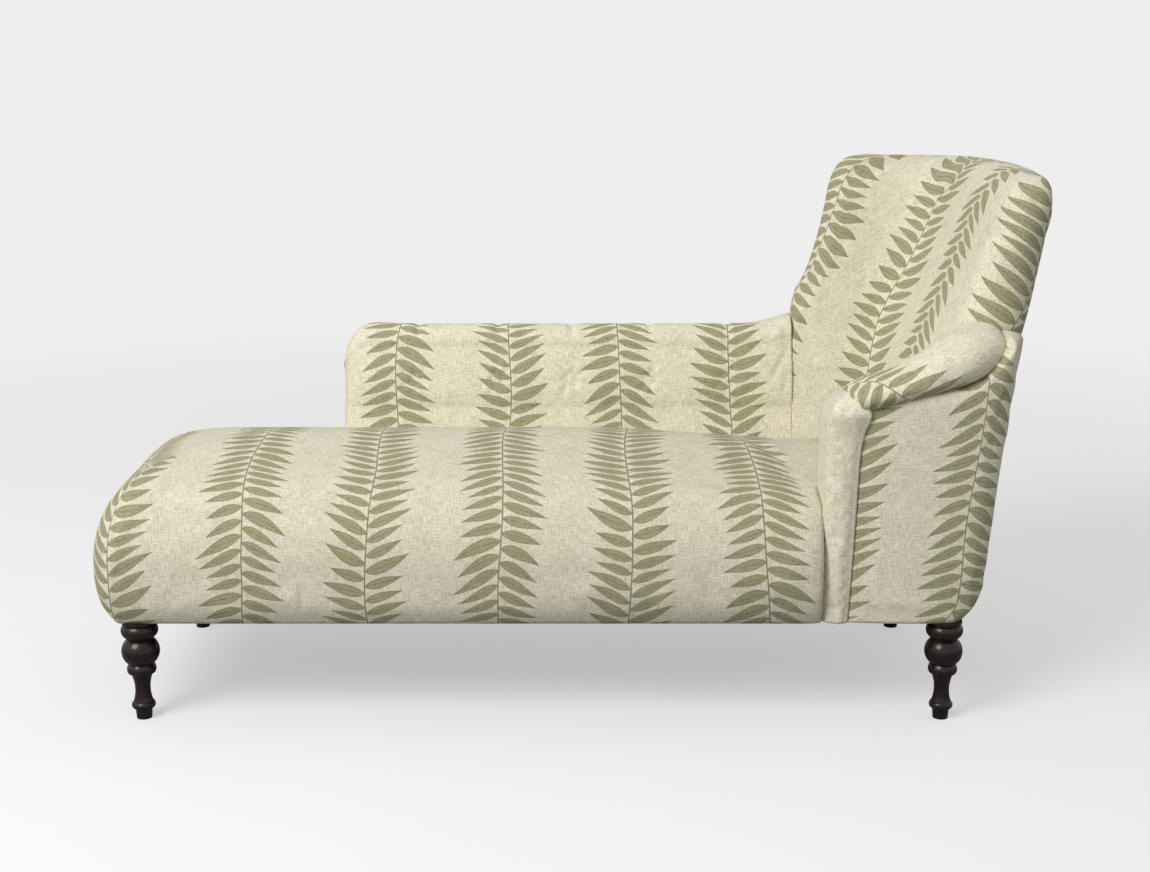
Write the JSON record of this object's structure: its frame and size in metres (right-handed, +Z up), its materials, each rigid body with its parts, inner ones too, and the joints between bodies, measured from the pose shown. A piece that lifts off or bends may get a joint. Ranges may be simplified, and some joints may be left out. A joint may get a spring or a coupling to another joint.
{
  "type": "chaise longue",
  "caption": "Upholstered chaise longue with a domed seat, low buttoned back, tall wrapped head back, scroll arm and turned legs.",
  "frame": {"origin": "on the floor under the middle of the whole piece", "axes": "+X towards the head end, -Y towards the open front, +Z up"},
  "size_m": [1.6992, 0.7867, 0.942],
  "materials": {
    "leafy_stripe_linen": "natural linen weave printed with olive-green leafy stems in stripes",
    "button_linen": "natural linen weave over a button",
    "turned_leg_wood": "near-black brown stain, gloss lacquer",
    "frame_timber": "planed beech, bare",
    "foam": "cut upholstery foam with wadding",
    "jute_webbing": "woven jute straps",
    "hessian": "coarse jute cloth",
    "dust_cloth": "thin black cloth",
    "bolt_steel": "zinc plated"
  },
  "bodies": {
    "root": {"arm_board": "frame_timber", "arm_front_band": "leafy_stripe_linen", "arm_post": "frame_timber", "arm_roll": "leafy_stripe_linen", "arm_side_panel": "leafy_stripe_linen", "arm_side_rail": "frame_timber", "base_rail_foot_end": "frame_timber", "base_rail_front": "frame_timber", "base_rail_head_end": "frame_timber", "base_rail_rear": "frame_timber", "base_stretcher_1": "frame_timber", "base_stretcher_2": "frame_timber", "corner_block_front_foot_end": "frame_timber", "corner_block_front_head_end": "frame_timber", "corner_block_rear_foot_end": "frame_timber", "corner_block_rear_head_end": "frame_timber", "dust_cloth": "dust_cloth", "hanger_bolts": "bolt_steel", "head_back_cover": "leafy_stripe_linen", "head_back_foam": "foam", "head_back_post_corner": "frame_timber", "head_back_post_front": "frame_timber", "head_back_post_rear": "frame_timber", "head_back_tack_rail": "frame_timber", "head_back_top_rail": "frame_timber", "leg_front_foot_end": "turned_leg_wood", "leg_front_head_end": "turned_leg_wood", "leg_rear_foot_end": "turned_leg_wood", "leg_rear_head_end": "turned_leg_wood", "low_back_buttons": "button_linen", "low_back_cover": "leafy_stripe_linen", "low_back_foam": "foam", "low_back_post_foot_end": "frame_timber", "low_back_post_head_end": "frame_timber", "low_back_post_middle_1": "frame_timber", "low_back_post_middle_2": "frame_timber", "low_back_top_rail": "frame_timber", "seat_cover": "leafy_stripe_linen", "seat_foam": "foam", "seat_hessian": "hessian", "webbing_cross_straps": "jute_webbing", "webbing_long_straps": "jute_webbing"}
  },
  "joints": []
}
